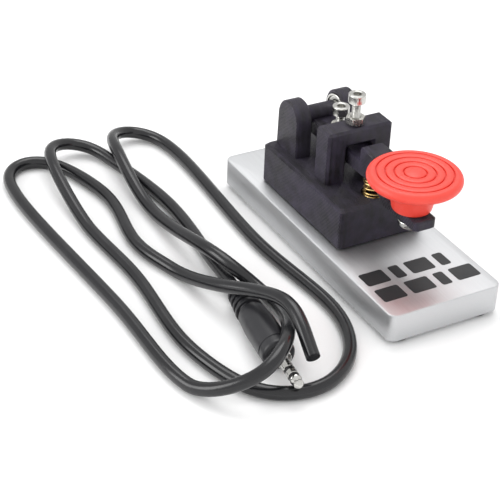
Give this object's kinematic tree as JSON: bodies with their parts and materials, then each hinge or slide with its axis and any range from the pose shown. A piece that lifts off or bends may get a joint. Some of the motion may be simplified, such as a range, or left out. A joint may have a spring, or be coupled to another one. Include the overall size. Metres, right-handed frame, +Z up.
{
  "type": "straight morse key",
  "caption": "Straight morse key: printed arch and ears on a metal bar, a sprung lever with a round red knob, adjusting screws, and a loose lead with a small jack plug.",
  "frame": {"origin": "middle of the floor under the bar, level with the feet's undersides", "axes": "+Z up, -Y towards the operator and the knob, +X to the operator's right; the lever turns about X"},
  "size_m": [0.1104, 0.1596, 0.0533],
  "materials": {
    "print_black": "satin black filament print with fine layer lines",
    "knob_red": "satin red print",
    "bar_metal": "brushed bar with a small bright chamfer",
    "screw_steel": "bright steel",
    "nut_steel": "plated steel",
    "brass": "bright brass",
    "foot_rubber": "matt rubber",
    "cable_jacket": "satin PVC jacket",
    "plug_moulding": "satin moulding",
    "plug_insulator": "gloss black ring",
    "jack_black": "moulded black",
    "wire_red": "wire insulation",
    "wire_black": "wire insulation"
  },
  "bodies": {
    "base": {"base_plate": "bar_metal", "foot_front_left": "foot_rubber", "foot_front_right": "foot_rubber", "foot_rear_left": "foot_rubber", "foot_rear_right": "foot_rubber", "printed_frame": "print_black", "pivot_bearing_left": "nut_steel", "pivot_bearing_right": "nut_steel", "return_spring": "brass", "fixed_contact": "screw_steel", "fixed_contact_nut": "nut_steel", "contact_lug": "brass", "jack_socket": "jack_black", "jack_nut": "nut_steel", "frame_screw_front_left": "screw_steel", "frame_screw_front_right": "screw_steel", "frame_screw_rear_left": "screw_steel", "frame_screw_rear_right": "screw_steel", "contact_wire": "wire_red", "pivot_wire": "wire_black", "lead_jacket": "cable_jacket", "plug_body": "plug_moulding", "plug_sleeve": "screw_steel", "plug_insulator_rear": "plug_insulator", "plug_ring": "screw_steel", "plug_insulator_front": "plug_insulator", "plug_tip": "screw_steel"},
    "lever": {"lever_arm": "print_black", "pivot_pin": "screw_steel", "key_knob": "knob_red", "knob_screw": "screw_steel"},
    "stop_nut": {"stop_lock_nut": "nut_steel"},
    "stop_screw": {"stop_screw": "screw_steel"},
    "contact_nut": {"contact_lock_nut": "nut_steel"},
    "contact_screw": {"contact_screw": "screw_steel"}
  },
  "joints": [
    {"name": "lever_hinge", "type": "hinge", "parent": "base", "child": "lever", "pos_m": [0, 0.02575, 0.0366], "axis": [1, 0, 0], "range_deg": [0, 2.2], "stiffness_Nm_per_rad": 1, "springref_deg": -4.58, "deforming": ["return_spring"]},
    {"name": "stop_rise", "type": "slide", "parent": "base", "child": "stop_nut", "axis": [0, 0, 1], "range_m": [0, 0.001]},
    {"name": "stop_turn", "type": "hinge", "parent": "stop_nut", "child": "stop_screw", "pos_m": [0, 0.0044, 0.045], "axis": [0, 0, 1], "range_deg": [0, 721]},
    {"name": "contact_rise", "type": "slide", "parent": "lever", "child": "contact_nut", "axis": [0, 0, 1], "range_m": [0, 0.001]},
    {"name": "contact_turn", "type": "hinge", "parent": "contact_nut", "child": "contact_screw", "pos_m": [0, 0.0129, 0.038], "axis": [0, 0, 1], "range_deg": [0, 721]}
  ],
  "couplings": [
    {"joint": "stop_turn", "follows": "stop_rise", "rad_per_m": 12566},
    {"joint": "contact_turn", "follows": "contact_rise", "rad_per_m": 12566}
  ]
}
